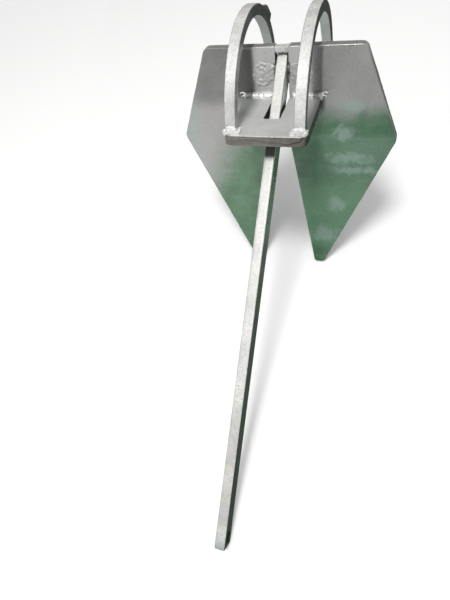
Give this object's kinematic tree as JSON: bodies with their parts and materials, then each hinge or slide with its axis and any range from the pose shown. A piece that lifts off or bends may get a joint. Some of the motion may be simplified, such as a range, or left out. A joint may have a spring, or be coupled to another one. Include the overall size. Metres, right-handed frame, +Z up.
{
  "type": "boat anchor",
  "caption": "Galvanised stockless boat anchor: two welded flukes, crown plates with hoops, and a flat-bar shank that swings on a cross pin.",
  "frame": {"origin": "middle of the object's lowest plane, below the centre of its bounding box, with the anchor standing on its two fluke tips and the end of its shank", "axes": "+Z up, +Y from the end of the shank towards the crown, +X to the right seen from the end of the shank and along the pivot pin"},
  "size_m": [0.2206, 0.4848, 0.2787],
  "materials": {
    "fluke_steel": "hot-dip galvanised plate, cloudy grey with pale streaks",
    "crown_steel": "hot-dip galvanised plate with a flame-cut edge",
    "hoop_steel": "bright hot-dip galvanised square bar",
    "shank_steel": "bright hot-dip galvanised flat bar, faintly speckled",
    "pin_steel": "hot-dip galvanised round bar",
    "weld_metal": "lumpy galvanised weld bead"
  },
  "bodies": {
    "flukes": {"left_fluke": "fluke_steel", "right_fluke": "fluke_steel", "front_crown_plate": "crown_steel", "rear_crown_plate": "crown_steel", "left_hoop": "hoop_steel", "right_hoop": "hoop_steel", "pivot_pin": "pin_steel", "slot_cap_weld": "weld_metal", "front_right_crown_weld_top": "weld_metal", "front_right_crown_weld_under": "weld_metal", "front_right_pin_weld": "weld_metal", "front_right_hoop_foot_weld": "weld_metal", "front_left_crown_weld_top": "weld_metal", "front_left_crown_weld_under": "weld_metal", "front_left_pin_weld": "weld_metal", "front_left_hoop_foot_weld": "weld_metal", "rear_right_crown_weld_top": "weld_metal", "rear_right_crown_weld_under": "weld_metal", "rear_right_pin_weld": "weld_metal", "rear_right_hoop_foot_weld": "weld_metal", "rear_left_crown_weld_top": "weld_metal", "rear_left_crown_weld_under": "weld_metal", "rear_left_pin_weld": "weld_metal", "rear_left_hoop_foot_weld": "weld_metal"},
    "shank": {"shank": "shank_steel"}
  },
  "joints": [
    {"name": "shank_hinge", "type": "hinge", "parent": "flukes", "child": "shank", "pos_m": [0, 0.16431, 0.22467], "axis": [1, 0, 0], "range_deg": [0, 94]}
  ]
}
